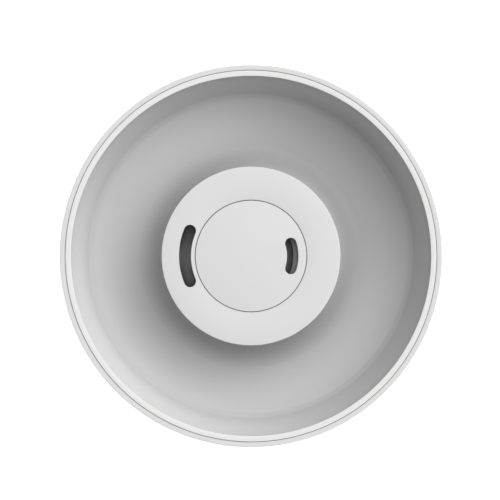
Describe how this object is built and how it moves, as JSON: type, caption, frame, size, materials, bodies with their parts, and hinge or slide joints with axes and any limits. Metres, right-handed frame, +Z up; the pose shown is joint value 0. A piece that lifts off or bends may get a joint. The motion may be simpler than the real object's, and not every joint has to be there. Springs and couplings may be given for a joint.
{
  "type": "ceiling access point",
  "caption": "Round white wireless access point that hangs flat under a ceiling on a twist-lock plate, with a cable trough and a network port hidden behind it.",
  "frame": {"origin": "where the axis of the round body meets the ceiling plane", "axes": "+Z up through the ceiling side; -Y towards the network port; -X towards the cable slot in the hub face; +X towards the cable slot in the mounting plate"},
  "size_m": [0.22, 0.22, 0.064],
  "materials": {
    "cover_white": "fine satin moulded ABS/PC",
    "shell_white": "fine satin moulded ABS/PC",
    "plate_white": "fine satin moulded ABS/PC",
    "silicone_white": "smooth matt silicone",
    "button_grey": "smooth",
    "stem_ivory": "smooth",
    "black_plastic": "moulded, slightly grained",
    "board_green": "glossy solder mask",
    "chip_black": "matt epoxy",
    "tinned_steel": "tin plated",
    "nickel_plate": "nickel plated",
    "gold_plate": "gold flash",
    "thermal_pad": "soft silicone",
    "cast_aluminium": "plain extruded",
    "screw_steel": "zinc plated",
    "spring_steel": "bright spring steel",
    "ferrite_black": "sintered ferrite",
    "winding_yellow": "polyester tape",
    "capacitor_sleeve": "shrink sleeve",
    "led_white": "diffused",
    "clear_acrylic": "polished"
  },
  "bodies": {
    "ceiling_plate": {"mount_plate": "plate_white"},
    "housing": {"front_cover": "cover_white", "rear_shell": "shell_white", "rim_gasket": "silicone_white", "detent_spring": "spring_steel", "reset_switch": "black_plastic", "port_board": "board_green", "ethernet_jack": "tinned_steel", "ethernet_contacts": "gold_plate", "dc_jack": "black_plastic", "dc_pin": "nickel_plate", "main_board": "board_green", "board_connector": "black_plastic", "processor": "chip_black", "memory_chips": "chip_black", "thermal_pads": "thermal_pad", "heat_sink": "cast_aluminium", "heat_sink_screws": "screw_steel", "board_screws": "screw_steel", "port_board_screws": "screw_steel", "poe_transformer": "ferrite_black", "transformer_winding": "winding_yellow", "bulk_capacitors": "capacitor_sleeve", "power_inductors": "ferrite_black", "power_chips": "chip_black", "radio_chips": "chip_black", "shield_frames": "tinned_steel", "shield_lids": "tinned_steel", "antennas_low_band": "tinned_steel", "antennas_high_band": "tinned_steel", "status_led": "led_white", "light_pipe": "clear_acrylic"},
    "reset_button": {"reset_plunger": "button_grey"},
    "switch_button": {"switch_stem": "stem_ivory"}
  },
  "joints": [
    {"name": "twist_lock", "type": "hinge", "parent": "ceiling_plate", "child": "housing", "pos_m": [0, 0, 0], "axis": [0, 0, -1], "range_deg": [0, 25], "deforming": ["detent_spring"]},
    {"name": "reset_press", "type": "slide", "parent": "housing", "child": "reset_button", "axis": [0.5736, 0.8192, 0], "range_m": [0, 0.0005]},
    {"name": "switch_press", "type": "slide", "parent": "housing", "child": "switch_button", "axis": [0.5736, 0.8192, 0], "range_m": [0, 0.0005], "stiffness_N_per_m": 3000}
  ],
  "couplings": [
    {"joint": "switch_press", "follows": "reset_press", "ratio": 1}
  ]
}
